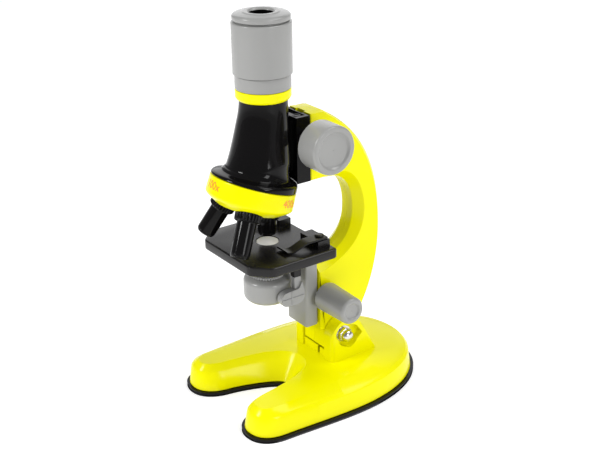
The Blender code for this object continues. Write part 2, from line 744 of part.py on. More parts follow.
def make_turret(yellow, black, glass):
    profile = [
        (2.0, TURRET_TOP),
        (22.6, TURRET_TOP),
        (23.2, TURRET_TOP + 0.6),
        (23.6, -3.4),
        (23.1, -2.6),
        (17.0, 1.5),
        (2.0, 1.5),
    ]
    ring = aimed(turned(profile, 40), TURRET_CENTRE, TURRET_AXIS)
    cutters = []
    for start, direction in objective_axes().values():
        cutters.append(aimed(cylinder(7.7, 0.3, 14, 32), start, direction))
        cutters.append(aimed(cylinder(4.6, -20, 1, 24), start, direction))
    pivot = tuple(TURRET_CENTRE)
    make_node("turret_ring", cut(ring, *cutters), yellow, pivot)
    for power, (start, direction) in objective_axes().items():
        length = OBJECTIVE_LENGTHS[power]
        profile = [
            (3.2, -7.0),
            (4.3, -7.0),
            (4.3, 0.6),
            (7.0, 0.6),
            (7.2, 1.1),
            (7.0, 5.5),
            (6.4, 6.2),
            (5.3, 6.2),
            (5.15, length - 0.8),
            (4.4, length),
            (3.2, length),
        ]
        housing = aimed(turned(profile, 28), start, direction)
        make_node(f"objective_{power}_barrel", housing, black, pivot)
        lens = [(0, length - 2.6), (2.9, length - 2.2), (2.9, length - 1.2), (0, length - 0.7)]
        make_node(f"objective_{power}_lens", aimed(turned(lens, 20), start, direction), glass, pivot)


# ---------------------------------------------------------------- stage


def stage_outline():
    chamfer = 9.2
    radius = 2.5
    half, front, rear = STAGE_HALF, STAGE_FRONT, STAGE_REAR
    right = arc((half - radius, rear - radius), radius, 90, 0, 4)
    right += [(half, front + chamfer + 1.5), (half - 0.5, front + chamfer)]
    right += [(half - chamfer, front + 0.5), (half - chamfer - 1.5, front)]
    return right + [(-x, y) for x, y in reversed(right)]


def make_stage(black, grey, frosted):
    outline = stage_outline()
    inner = offset(outline, -0.8)
    rings = [
        [(x, y, STAGE_BOTTOM) for x, y in inner],
        [(x, y, STAGE_BOTTOM + 0.8) for x, y in outline],
        [(x, y, STAGE_TOP - 0.8) for x, y in outline],
        [(x, y, STAGE_TOP) for x, y in inner],
    ]
    # The lugs under the plate hide the upper ends of the lamp yoke's legs.
    lugs = [
        box((15.9, -23.2, 78.3), (17.4, -18.7, STAGE_BOTTOM + 1.0)),
        box((13.7, -23.2, 78.3), (17.4, -22.2, STAGE_BOTTOM + 1.0)),
        box((-17.4, -23.2, 78.3), (-15.9, -18.7, STAGE_BOTTOM + 1.0)),
        box((-17.4, -23.2, 78.3), (-13.7, -22.2, STAGE_BOTTOM + 1.0)),
    ]
    blocks = [
        box((9.9, -13.6, STAGE_TOP - 1.0), (26.2, -5.9, CLIP_BLOCK_TOP), 0.6),
        box((-26.2, -13.6, STAGE_TOP - 1.0), (-9.9, -5.9, CLIP_BLOCK_TOP), 0.6),
    ]
    plate = cut(
        join(loft(rings), *blocks, *lugs),
        moved(cylinder(6.3, 93.4, 100, 36), 0, TUBE_Y),
        moved(cylinder(5.0, 80, 100, 32), 0, TUBE_Y),
        moved(cylinder(1.5, 97.0, 110, 16), CLIP_X, CLIP_Y),
        moved(cylinder(1.5, 97.0, 110, 16), -CLIP_X, CLIP_Y),
    )
    make_node("stage_plate", plate, black)
    make_node("stage_window", moved(cylinder(6.0, 93.7, 95.2, 36), 0, TUBE_Y), frosted)

    low_corner = (-COLUMN_HALF, COLUMN_FRONT, COLUMN_BOTTOM)
    high_corner = (COLUMN_HALF, COLUMN_REAR, STAGE_BOTTOM - GAP)
    column = box(low_corner, high_corner, 1.6, True)
    column = cut(column, box((-3.2, -4.6, 30.0), (3.2, 1.0, 84.0)))
    make_node("stage_column", column, grey)
    stage_rack = rack(STAGE_KNOB_Y - PITCH_RADIUS, STAGE_KNOB_Z, 1, COLUMN_BOTTOM + 2.0, 82.0, -2.6)
    make_node("stage_rack", stage_rack, grey)

    centre = (LAMP_Y + 1.1, LAMP_Z)
    pad = arc(centre, 4.1, 90, 270, 10)
    pad += [(-21.4, 62.4), (-18.4, 63.4), (-17.0, 66.0), (-17.1, 69.5), (-17.9, 72.5), (-18.9, 75.5)]
    pad += [(-19.6, 73.0), (-21.0, 71.4)]
    top = STAGE_BOTTOM - GAP
    legs = [
        prism_x(pad, YOKE_INNER, YOKE_OUTER),
        box((YOKE_INNER, -22.9, 68.0), (17.0, -18.9, 78.0)),
        box((YOKE_INNER, -21.9, 77.0), (15.6, -19.2, top)),
    ]
    legs += [
        prism_x(pad, -YOKE_OUTER, -YOKE_INNER),
        box((-17.0, -22.9, 68.0), (-YOKE_INNER, -18.9, 78.0)),
        box((-15.6, -21.9, 77.0), (-YOKE_INNER, -19.2, top)),
    ]
    yoke = join(box((-15.6, -21.9, 86.6), (15.6, -19.2, top)), *legs)
    yoke = cut(yoke, along_x(cylinder(1.9, -17.2, 17.2, 20), 0, LAMP_Y, LAMP_Z))
    make_node("lamp_yoke", yoke, grey)

    for name, side in (("clip_stud_right", 1), ("clip_stud_left", -1)):
        stud = turned([(0, 97.4), (1.2, 97.4), (1.2, 101.3), (2.5, 101.3), (2.4, 101.8), (0, 102.1)], 20)
        make_node(name, moved(stud, side * CLIP_X, CLIP_Y), black)


def clip_shape():
    """The right clip: a flat blade under its stud, a slope down to the stage and an upturned tip."""
    thick = 1.1
    stations = [
        (-6.6, 99.9, 19.2, 25.9),
        (-19.4, 99.9, 19.2, 25.9),
        (-27.4, 95.9, 17.7, 23.6),
        (-29.6, 95.7, 14.4, 22.8),
        (-31.4, 96.9, 13.2, 21.8),
    ]
    rings = []
    for y, z, low, high in stations:
        rings.append([(low, y, z), (high, y, z), (high, y - 0.2, z + thick), (low, y - 0.2, z + thick)])
    return loft(rings)


def make_clips(black):
    for name, side in (("clip_right", 1), ("clip_left", -1)):
        clip = cut(clip_shape(), moved(cylinder(1.5, 90, 110, 16), CLIP_X, CLIP_Y))
        if side < 0:
            clip = mirrored(clip)
        make_node(name, clip, black, (side * CLIP_X, CLIP_Y, STAGE_TOP))


def make_stage_drive(grey, steel):
    shaft = join(
        along_x(cylinder(SHAFT_RADIUS, -24.0, 24.0, 24), 0, STAGE_KNOB_Y, STAGE_KNOB_Z),
        pinion(STAGE_KNOB_Y, STAGE_KNOB_Z, -1),
    )
    pivot = (0, STAGE_KNOB_Y, STAGE_KNOB_Z)
    make_node("stage_shaft", shaft, steel, pivot)
    profile = [
        (SHAFT_RADIUS + 0.2, 10.1),
        (4.0, 10.1),
        (4.0, 11.8),
        (7.6, 11.8),
        (8.3, 12.5),
        (7.6, 34.8),
        (6.6, 36.0),
        (4.9, 36.0),
        (4.0, 34.9),
        (0, 34.9),
        (0, 24.4),
        (SHAFT_RADIUS + 0.2, 24.4),
    ]
    for name, side in (("stage_knob_right", 1), ("stage_knob_left", -1)):
        make_node(name, along_x(turned(profile, 36), 0, STAGE_KNOB_Y, STAGE_KNOB_Z, side), grey, pivot)


# ---------------------------------------------------------------- lamp


def make_lamp(grey, mirror, clear, board):
    profile = [
        (0, LAMP_BOTTOM + 0.9),
        (8.6, LAMP_BOTTOM + 0.9),
        (8.6, LAMP_BOTTOM),
        (9.2, LAMP_BOTTOM),
        (11.4, LAMP_BOTTOM + 0.8),
        (12.6, LAMP_BOTTOM + 2.2),
        (LAMP_RADIUS, LAMP_BOTTOM + 4.2),
        (LAMP_RADIUS, 73.2),
        (12.5, 74.4),
        (11.4, 75.2),
        (9.4, 76.0),
        (8.2, 76.0),
        (8.2, 74.8),
        (10.6, 73.6),
        (10.6, LAMP_BOTTOM + 3.0),
        (0, LAMP_BOTTOM + 3.0),
    ]
    housing = moved(turned(profile), 0, LAMP_Y)
    stubs = [
        along_x(cylinder(1.6, 11.8, 16.9, 16), 0, LAMP_Y, LAMP_Z),
        along_x(cylinder(1.6, 11.8, 16.9, 16), 0, LAMP_Y, LAMP_Z, -1),
    ]
    pivot = (0, LAMP_Y, LAMP_Z)
    make_node("lamp_housing", join(housing, *stubs), grey, pivot)
    glass = cylinder(8.3, LAMP_BOTTOM + 0.05, LAMP_BOTTOM + 0.6, 32)
    make_node("lamp_mirror", moved(glass, 0, LAMP_Y), mirror, pivot)
    bezel = turned([(7.2, 76.3), (10.0, 76.3), (10.0, 77.3), (9.5, 77.8), (7.2, 77.8)])
    make_node("lamp_bezel", moved(bezel, 0, LAMP_Y), grey, pivot)
    lens = turned([(0, 75.6), (6.9, 75.6), (6.9, 77.3), (4.8, 78.3), (0, 78.8)], 28)
    make_node("lamp_lens", moved(lens, 0, LAMP_Y), clear, pivot)
    make_node("lamp_board", moved(cylinder(10.2, 66.0, 67.4, 28), 0, LAMP_Y), board, pivot)
    led = turned([(0, 67.7), (2.9, 67.7), (2.9, 68.7), (2.5, 68.7), (2.5, 72.0), (1.6, 73.6), (0, 74.2)], 20)
    make_node("lamp_led", moved(led, 0, LAMP_Y), clear, pivot)


def main():
    for thing in list(bpy.data.objects):
        bpy.data.objects.remove(thing)
    yellow = make_material("yellow plastic", (0.93, 0.86, 0.02), 0.28)
    black = make_material("black plastic", (0.018, 0.017, 0.017), 0.25)
    satin = make_material("satin black plastic", (0.05, 0.045, 0.045), 0.45)
    grey = make_material("grey plastic", (0.30, 0.30, 0.31), 0.45)
    steel = make_material("steel", (0.62, 0.62, 0.63), 0.3, 1.0)
    glass = make_material("glass", (0.75, 0.82, 0.86), 0.05)
    frosted = make_material("frosted window", (0.6, 0.6, 0.59), 0.4)
    mirror = make_material("mirror", (0.9, 0.9, 0.9), 0.03, 1.0)
    board = make_material("circuit board", (0.05, 0.25, 0.10), 0.5)
    cell = make_material("battery wrap", (0.10, 0.10, 0.12), 0.4)
    make_base(yellow, black, steel, cell)
    make_arm(yellow, grey, steel)
    make_tube(black, yellow, grey, steel)
    make_eyepiece(grey, glass)
    make_turret(yellow, black, glass)
    make_stage(satin, grey, frosted)
    make_stage_drive(grey, steel)
    make_clips(satin)
    make_lamp(grey, mirror, glass, board)


main()
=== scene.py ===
"""The looks of a toy microscope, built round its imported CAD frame.

Shapes are drawn in millimetres and become metres when a piece is made. The lights and the camera
are placed in metres. +Z is up, the front is -Y, and X runs between the focusing knobs.
"""

import json
import math

import bmesh
import bpy
from mathutils import Matrix, Vector

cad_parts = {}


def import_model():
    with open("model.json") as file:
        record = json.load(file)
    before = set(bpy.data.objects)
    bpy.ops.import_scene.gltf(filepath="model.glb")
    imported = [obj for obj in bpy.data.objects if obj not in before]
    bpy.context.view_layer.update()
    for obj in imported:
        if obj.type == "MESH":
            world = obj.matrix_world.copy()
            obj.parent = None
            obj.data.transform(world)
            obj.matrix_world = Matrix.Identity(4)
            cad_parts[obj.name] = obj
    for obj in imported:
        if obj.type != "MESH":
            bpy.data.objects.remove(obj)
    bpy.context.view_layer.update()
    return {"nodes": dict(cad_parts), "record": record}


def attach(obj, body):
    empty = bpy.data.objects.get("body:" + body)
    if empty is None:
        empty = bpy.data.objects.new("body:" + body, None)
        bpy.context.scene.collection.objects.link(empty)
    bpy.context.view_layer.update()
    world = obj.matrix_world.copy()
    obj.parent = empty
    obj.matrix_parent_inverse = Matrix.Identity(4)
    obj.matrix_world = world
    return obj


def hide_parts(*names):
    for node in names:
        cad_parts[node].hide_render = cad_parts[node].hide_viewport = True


MM = 0.001
# How many sides the small, the usual and the large turned pieces have.
SMALL, ROUND, LARGE = 48, 96, 128

SHELL_BOTTOM, DECK = 2.7, 17.0
EAR_BOTTOM = DECK - 1.2
HINGE_Y, HINGE_Z = 12.4, 31.2
BORE = 2.3
EAR_INNER, EAR_OUTER, EAR_RADIUS = 10.3, 18.2, 11.0
ARM_HALF, SEAM = 9.6, 0.03
HEAD_FRONT, HEAD_TOP, HEAD_BOTTOM = -5.8, 164.4, 127.3
ARM_FRONT = -0.9
FOOT_RADIUS, FOOT_FRONT = 12.8, 2.3
RACK_END = HEAD_TOP - 1.9
ARM_SCREWS = [(11.0, 147.5), (34.5, 95.0), (27.0, 57.0)]
BASE_SCREWS = [(30.0, -45.0), (-30.0, -45.0), (33.0, 22.0), (-33.0, 22.0)]
FOCUS_Y, FOCUS_Z = -9.65, 152.15
STAGE_KNOB_Y, STAGE_KNOB_Z = 2.0, 57.5
TUBE_Y, TUBE_REAR = -28.3, -15.7
SLEEVE_INNER, SLEEVE_OUTER = 9.7, 14.5
TILT = math.radians(19.2)
TURRET_CENTRE = Vector((0.0, -40.03, 118.85))
TURRET_AXIS = Vector((0.0, -math.sin(TILT), -math.cos(TILT)))
TURRET_BACK = Vector((0.0, math.cos(TILT), -math.sin(TILT)))
BAND_TOP, BAND_RADIUS = -12.6, 23.2
OBJECTIVE_CIRCLE = 12.5
OBJECTIVES = {"100": 14.9, "1200": 25.0, "400": 22.6}
STAGE_TOP, STAGE_BOTTOM = 95.4, 89.8
COLUMN_TOP = STAGE_BOTTOM - 0.3
CLIP_X, CLIP_Y, CLIP_HOLE = 22.0, -10.0, 1.5
LAMP_Y, LAMP_Z = -29.2, 66.9

CAMERA_PLACE = (0.45951, -0.33201, 0.34354)
CAMERA_AZIMUTH, CAMERA_ELEVATION, CAMERA_ROLL = 54.702, 23.5, -0.887
CAMERA_LENS = 67.396


# ---------------------------------------------------------------- shapes


def bezier(start, handle_a, handle_b, end, steps):
    """Points of a cubic curve, without its end point."""
    points = []
    for step in range(steps):
        t = step / steps
        weights = ((1 - t) ** 3, 3 * t * (1 - t) ** 2, 3 * t * t * (1 - t), t**3)
        corners = (start, handle_a, handle_b, end)
        points.append(tuple(sum(w * c[i] for w, c in zip(weights, corners)) for i in (0, 1)))
    return points


def arc(centre, radius, start, end, steps):
    angles = [math.radians(start + (end - start) * i / steps) for i in range(steps + 1)]
    return [(centre[0] + radius * math.cos(a), centre[1] + radius * math.sin(a)) for a in angles]


def offset(points, distance):
    """Move a closed outline's points to its left, by one distance or by one for each point."""
    shifted = []
    for i, point in enumerate(points):
        before = (Vector(point) - Vector(points[i - 1])).normalized()
        after = (Vector(points[(i + 1) % len(points)]) - Vector(point)).normalized()
        along = (before + after).normalized()
        amount = distance[i] if isinstance(distance, list) else distance
        shifted.append((point[0] - along.y * amount, point[1] + along.x * amount))
    return shifted


def rounded(points, radius, steps=4, closed=True):
    """Round the corners of an outline, less where its sides are short."""
    result = []
    count = len(points)
    for i, point in enumerate(points):
        if not closed and i in (0, count - 1):
            result.append(point)
            continue
        here, back, ahead = Vector(point), Vector(points[i - 1]), Vector(points[(i + 1) % count])
        reach = min(radius, (here - back).length * 0.45, (ahead - here).length * 0.45)
        first = here + (back - here).normalized() * reach
        last = here + (ahead - here).normalized() * reach
        for step in range(steps + 1):
            t = step / steps
            result.append(tuple(first * (1 - t) ** 2 + here * 2 * t * (1 - t) + last * t * t))
    return result


def loft(rings):
    """A closed solid through rings of equal length, with a flat face at each end."""
    mesh = bmesh.new()
    made = [[mesh.verts.new(point) for point in ring] for ring in rings]
    count = len(rings[0])
    for low, high in zip(made, made[1:]):
        for i in range(count):
            j = (i + 1) % count
            mesh.faces.new((low[i], low[j], high[j], high[i]))
    mesh.faces.new(list(reversed(made[0])))
    mesh.faces.new(made[-1])
    bmesh.ops.recalc_face_normals(mesh, faces=mesh.faces)
    return mesh


def turned(profile, segments=ROUND, flutes=0, depth=0.0, between=(0.0, 0.0), corner=0.0):
    """A solid of revolution about Z from a closed outline of (radius, height) points.

    Flutes are rounded grooves of the given depth in the outer wall between two heights.
    """
    if corner:
        profile = rounded(profile, corner, closed=profile[0][0] > 0)
    fluted_from = max(point[0] for point in profile) - 0.7
    mesh = bmesh.new()
    rings = []
    for radius, height in profile:
        if radius < 1e-6:
            rings.append([mesh.verts.new((0, 0, height))])
            continue
        ring = []
        for i in range(segments):
            angle = 2 * math.pi * i / segments
            grooved = flutes and between[0] <= height <= between[1] and radius > fluted_from
            dip = depth * (0.5 - 0.5 * math.cos(flutes * angle)) ** 2 if grooved else 0.0
            reach = radius - dip
            ring.append(mesh.verts.new((reach * math.cos(angle), reach * math.sin(angle), height)))
        rings.append(ring)
    for ring, following in zip(rings, rings[1:] + rings[:1]):
        if len(ring) == 1 and len(following) == 1:
            continue
        for i in range(segments):
            j = (i + 1) % segments
            if len(ring) == 1:
                mesh.faces.new((ring[0], following[i], following[j]))
            elif len(following) == 1:
                mesh.faces.new((ring[i], following[0], ring[j]))
            else:
                mesh.faces.new((ring[i], following[i], following[j], ring[j]))
    bmesh.ops.recalc_face_normals(mesh, faces=mesh.faces)
    return mesh


def cylinder(radius, low, high, segments=SMALL):
    return turned([(0, low), (radius, low), (radius, high), (0, high)], segments)


def box(low, high):
    mesh = bmesh.new()
    bmesh.ops.create_cube(mesh, size=1.0)
    size = [b - a for a, b in zip(low, high)]
    middle = [(a + b) / 2 for a, b in zip(low, high)]
    placed = Matrix.Translation(middle) @ Matrix.Diagonal((*size, 1))
    bmesh.ops.transform(mesh, matrix=placed, verts=mesh.verts)
    return mesh


def prism_x(outline, low, high):
    return loft([[(low, y, z) for y, z in outline], [(high, y, z) for y, z in outline]])


def prism_z(outline, low, high):
    return loft([[(x, y, low) for x, y in outline], [(x, y, high) for x, y in outline]])


def moved(mesh, x, y):
    bmesh.ops.translate(mesh, vec=(x, y, 0), verts=mesh.verts)
    return mesh


def aimed(mesh, origin, direction):
    """Turn a mesh's +Z to a direction, then move it to an origin."""
    turn = Vector((0, 0, 1)).rotation_difference(Vector(direction)).to_matrix().to_4x4()
    bmesh.ops.transform(mesh, matrix=Matrix.Translation(origin) @ turn, verts=mesh.verts)
    return mesh


def along_x(mesh, x, y, z, side=1):
    """Turn a mesh's +Z to +X, or to -X with side -1, and move it."""
    return aimed(mesh, Vector((x, y, z)), Vector((side, 0, 0)))


def mirrored(mesh):
    bmesh.ops.scale(mesh, vec=(-1, 1, 1), verts=mesh.verts)
    bmesh.ops.reverse_faces(mesh, faces=mesh.faces)
    return mesh


def combine(base, others, operation):
    """Cut or join meshes exactly, and merge the doubled points that this leaves."""
    scratch = []
    for mesh in [base] + others:
        data = bpy.data.meshes.new("scratch")
        bmesh.ops.recalc_face_normals(mesh, faces=mesh.faces)
        mesh.to_mesh(data)
        mesh.free()
        thing = bpy.data.objects.new("scratch", data)
        bpy.context.scene.collection.objects.link(thing)
        scratch.append(thing)
    for cutter in scratch[1:]:
        modifier = scratch[0].modifiers.new("combine", "BOOLEAN")
        modifier.operation = operation
        modifier.solver = "EXACT"
        modifier.object = cutter
    bpy.context.view_layer.update()
    evaluated = scratch[0].evaluated_get(bpy.context.evaluated_depsgraph_get())
    result = bmesh.new()
    result.from_mesh(evaluated.to_mesh())
    evaluated.to_mesh_clear()
    for thing in scratch:
        data = thing.data
        bpy.data.objects.remove(thing)
        bpy.data.meshes.remove(data)
    bmesh.ops.remove_doubles(result, verts=result.verts, dist=0.0005)
    bmesh.ops.dissolve_degenerate(result, edges=result.edges, dist=0.0005)
    return result


def cut(base, *cutters):
    return combine(base, list(cutters), "DIFFERENCE")


def join(base, *others):
    return combine(base, list(others), "UNION")


def piece(name, mesh, look, body, nodes=(), bevel=0.0):
    """Make a piece of the object, riding on a body and standing for CAD nodes."""
    bmesh.ops.scale(mesh, vec=(MM, MM, MM), verts=mesh.verts)
    bmesh.ops.recalc_face_normals(mesh, faces=mesh.faces)
    data = bpy.data.meshes.new(name)
    mesh.to_mesh(data)
    mesh.free()
    data.materials.append(look)
    data.shade_smooth()
    thing = bpy.data.objects.new(name, data)
    bpy.context.scene.collection.objects.link(thing)
    if bevel:
        modifier = thing.modifiers.new("soft edges", "BEVEL")
        modifier.width = bevel * MM
        modifier.segments = 3
        modifier.limit_method = "ANGLE"
        modifier.angle_limit = math.radians(30)
        modifier.use_clamp_overlap = True
        modifier.harden_normals = True
    data.set_sharp_from_angle(angle=math.radians(35))
    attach(thing, body)
    if nodes:
        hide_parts(*nodes)


# ---------------------------------------------------------------- materials


def material(
    name, slot, color, other, roughness, metallic=0.0, grain=260.0, bump=0.04, specular=0.5
):
    """A moulded or metal surface whose colour, roughness and fine texture vary a little."""
    made = bpy.data.materials.new(name)
    made["slot"] = slot
    made.use_nodes = True
    nodes, links = made.node_tree.nodes, made.node_tree.links
    shader = nodes["Principled BSDF"]
    shader.inputs["Metallic"].default_value = metallic
    shader.inputs["Specular IOR Level"].default_value = specular
    place = nodes.new("ShaderNodeTexCoord")
    cloud = nodes.new("ShaderNodeTexNoise")
    cloud.inputs["Scale"].default_value = 28.0
    cloud.inputs["Detail"].default_value = 4.0
    links.new(place.outputs["Object"], cloud.inputs["Vector"])
    mix = nodes.new("ShaderNodeMix")
    mix.data_type = "RGBA"
    mix.inputs["A"].default_value = (*color, 1.0)
    mix.inputs["B"].default_value = (*other, 1.0)
    links.new(cloud.outputs["Fac"], mix.inputs["Factor"])
    links.new(mix.outputs["Result"], shader.inputs["Base Color"])
    fine = nodes.new("ShaderNodeTexNoise")
    fine.inputs["Scale"].default_value = grain
    fine.inputs["Detail"].default_value = 6.0
    fine.inputs["Roughness"].default_value = 0.6
    links.new(place.outputs["Object"], fine.inputs["Vector"])
    spread = nodes.new("ShaderNodeMapRange")
    spread.inputs["From Min"].default_value = 0.1
    spread.inputs["From Max"].default_value = 0.9
    spread.inputs["To Min"].default_value = roughness * 0.94
    spread.inputs["To Max"].default_value = roughness * 1.08
    links.new(fine.outputs["Fac"], spread.inputs["Value"])
    links.new(spread.outputs["Result"], shader.inputs["Roughness"])
    relief = nodes.new("ShaderNodeBump")
    relief.inputs["Strength"].default_value = bump
    relief.inputs["Distance"].default_value = 0.0004
    links.new(fine.outputs["Fac"], relief.inputs["Height"])
    links.new(relief.outputs["Normal"], shader.inputs["Normal"])
    return made


def clear_material(name, color, roughness):
    other = tuple(0.9 * channel for channel in color)
    made = material(name, "glass", color, other, roughness, bump=0.005)
    shader = made.node_tree.nodes["Principled BSDF"]
    shader.inputs["Transmission Weight"].default_value = 1.0
    shader.inputs["IOR"].default_value = 1.49
    return made


def make_materials():
    """The CAD slots' materials by slot name, and three more that only pieces drawn here use."""
    plain = [
        ("yellow_plastic", (0.92, 0.88, 0.0), (0.9, 0.86, 0.0), 0.18, 0.0, 400, 0.0, 0.14),
        ("gloss_black", (0.003, 0.0028, 0.003), (0.005, 0.0045, 0.0045), 0.09, 0.0, 400, 0.004, 0.15),
        ("satin_black", (0.006, 0.0055, 0.005), (0.009, 0.008, 0.008), 0.36, 0.0, 900, 0.08, 0.3),
        ("grey_plastic", (0.32, 0.32, 0.31), (0.3, 0.3, 0.29), 0.24, 0.0, 700, 0.02, 0.5),
        ("steel", (0.74, 0.73, 0.7), (0.62, 0.61, 0.6), 0.2, 1.0, 1500, 0.06, 0.5),
        ("frosted_plastic", (0.7, 0.69, 0.67), (0.65, 0.64, 0.62), 0.45, 0.0, 260, 0.04, 0.5),
        ("circuit_board", (0.02, 0.16, 0.05), (0.03, 0.2, 0.07), 0.4, 0.0, 260, 0.04, 0.5),
        ("battery_wrap", (0.05, 0.05, 0.06), (0.08, 0.07, 0.07), 0.35, 0.0, 260, 0.04, 0.5),
        ("mirror", (0.92, 0.93, 0.94), (0.88, 0.9, 0.91), 0.03, 1.0, 260, 0.0, 0.5),
    ]
    made = {}
    for slot, color, other, roughness, metallic, grain, bump, specular in plain:
        name = slot.replace("_", " ")
        made[slot] = material(name, slot, color, other, roughness, metallic, grain, bump, specular)
    made["glass"] = clear_material("glass", (0.8, 0.86, 0.9), 0.03)
    made["clear"] = clear_material("clear plastic", (0.95, 0.95, 0.93), 0.06)
    ink, other = (1.0, 0.27, 0.01), (0.95, 0.22, 0.01)
    made["ink"] = material("orange ink", "yellow_plastic", ink, other, 0.4)
    deck, other = (0.008, 0.0075, 0.007), (0.011, 0.01, 0.01)
    made["deck"] = material("stage plastic", "satin_black", deck, other, 0.25, 0.0, 900, 0.03, 0.28)
    return made


# ---------------------------------------------------------------- base


def base_outline(insets, steps=20):
    """The horseshoe, clockwise from above, drawn in by six insets.

    They are for the rear, the side, the outer foot, the toe, the inner foot and the crotch.
    """
    curves = [
        ((0, 63.8), (28.2, 63.8), (46.3, 38.9), (46.3, 0)),
        ((46.3, 0), (46.3, -16), (44.0, -33), (43.2, -49)),
        ((43.2, -49), (42.4, -58.5), (37.5, -63.8), (28.5, -63.8)),
        ((28.5, -63.8), (20.0, -63.8), (14.9, -56.5), (13.8, -48.5)),
        ((13.8, -48.5), (12.6, -40.0), (5.0, -18.9), (0, -18.9)),
    ]
    right, amounts = [], []
    for curve, first, last in zip(curves, insets, insets[1:]):
        right += bezier(*curve, steps)
        for step in range(steps):
            t = step / steps
            amounts.append(first + (last - first) * t * t * (3 - 2 * t))
    right.append(curves[-1][3])
    amounts.append(insets[-1])
    outline = right + [(-x, y) for x, y in reversed(right[1:-1])]
    amounts = amounts + list(reversed(amounts[1:-1]))
    return offset(outline, [-amount for amount in amounts])


def base_body(extra, bottom, top):
    """The base's solid shape from its rim up to its deck, drawn in all round by an extra inset."""
    levels = [
        (bottom, (1.2, 1.2, 1.0, 1.0, 1.0, 1.2)),
        (12.6, (2.6, 2.8, 2.2, 2.4, 3.4, 8.0)),
        (14.4, (4.0, 4.6, 3.2, 3.6, 4.8, 9.4)),
        (top, (11.0, 14.0, 7.5, 6.5, 7.5, 12.0)),
    ]
    rings = []
    for height, insets in levels:
        outline = base_outline([inset + extra for inset in insets])
        lowered = height - extra if height > bottom else height
        rings.append([(x, y, lowered) for x, y in outline])
    return loft(rings)


def ear_outline():
    top = arc((HINGE_Y, HINGE_Z), EAR_RADIUS, 30, 180, 40)
    return [(33.6, EAR_BOTTOM)] + top + [(HINGE_Y - EAR_RADIUS, EAR_BOTTOM)]


def ear():
    """The right ear, with its outer front corner rounded."""
    front = HINGE_Y - EAR_RADIUS
    radius = 2.5
    curve = arc((EAR_OUTER - radius, front + radius), radius, -90, 0, 16)
    corner = prism_z([(EAR_OUTER + 1, front - 1)] + list(reversed(curve)), DECK - 2, 50)
    return cut(prism_x(ear_outline(), EAR_INNER, EAR_OUTER), corner)


def nut_recess():
    """The recess round the hinge nut: three arcs about the hinge and a corner towards the rear."""
    centre = (HINGE_Y, HINGE_Z)
    outline = arc(centre, 9.0, 118, 166, 12)
    outline += arc(centre, 6.5, 186, 230, 12)
    outline += arc(centre, 7.8, 280, 330, 12)
    return rounded(outline + [(23.0, 30.6), (18.8, 36.4), (14.4, 38.4)], 1.0, 3)


def build_base(yellow, black, steel):
    wall = 1.8
    shell = cut(base_body(0.0, SHELL_BOTTOM, DECK), base_body(wall, SHELL_BOTTOM - 2.0, DECK))
    stop_front, stop_rear = 2.7, 3.45
    stops = [
        box((-EAR_INNER - 0.5, stop_front, EAR_BOTTOM), (2.6, stop_rear, 21.5)),
        box((4.4, stop_front, EAR_BOTTOM), (EAR_INNER + 0.5, stop_rear, 21.3)),
    ]
    shell = join(shell, ear(), mirrored(ear()), *stops)
    shell = cut(
        shell,
        along_x(cylinder(BORE, -25, 25), 0, HINGE_Y, HINGE_Z),
        prism_x(nut_recess(), 14.0, EAR_OUTER + 1),
        along_x(cylinder(4.6, -EAR_OUTER - 1, -14.2), 0, HINGE_Y, HINGE_Z),
    )
    piece("base_shell_skin", shell, yellow, "base", ["base_shell"], bevel=0.55)

    outline = base_outline([0.0] * 6)
    # The outline runs clockwise, so its left is outside, and the lip stands out past it.
    lip = offset(outline, 0.7)
    rings = [(0.0, lip), (0.5, outline), (1.9, outline), (2.4, lip)]
    plate = loft([[(x, y, height) for x, y in ring] for height, ring in rings])
    cutters = [box((-15, 5, -1), (15, 55, 4))]
    for x, y in BASE_SCREWS:
        cutters += [moved(cylinder(1.6, -1, 4), x, y), moved(cylinder(3.1, -1, 1.4), x, y)]
    piece("base_plate_skin", cut(plate, *cutters), black, "base", ["base_plate"], bevel=0.25)

    washer = turned([(BORE, 14.05), (4.9, 14.05), (4.9, 14.25), (BORE, 14.25)], corner=0.1)
    piece("hinge_washer", along_x(washer, 0, HINGE_Y, HINGE_Z), steel, "base")
    hexagon = turned([(0, 14.3), (4.45, 14.3), (4.45, 16.7), (4.0, 17.0), (0, 17.0)], 6)
    dome = [(0, 16.5), (3.6, 16.5), (3.6, 18.0), (3.45, 18.7), (3.05, 19.4), (2.4, 19.95)]
    dome += [(1.3, 20.3), (0, 20.4)]
    nut = cut(join(hexagon, turned(dome, 64)), cylinder(BORE, 10, 18.3))
    nut = along_x(nut, 0, HINGE_Y, HINGE_Z)
    piece("hinge_nut_skin", nut, steel, "base", ["hinge_nut"], bevel=0.2)
    tip = [(2.0, 17.4), (1.6, 17.9), (0, 17.9)]
    head = [(0, -17.9), (2.6, -17.7), (3.9, -16.6), (3.9, -14.6), (2.0, -14.6)]
    thread = [(2.0 - 0.18 * (i % 2), -14.4 + 0.35 * i) for i in range(90)]
    bolt = along_x(turned(head + thread + tip, SMALL), 0, HINGE_Y, HINGE_Z)
    piece("hinge_bolt_skin", bolt, steel, "base", ["hinge_bolt"])


# ---------------------------------------------------------------- arm


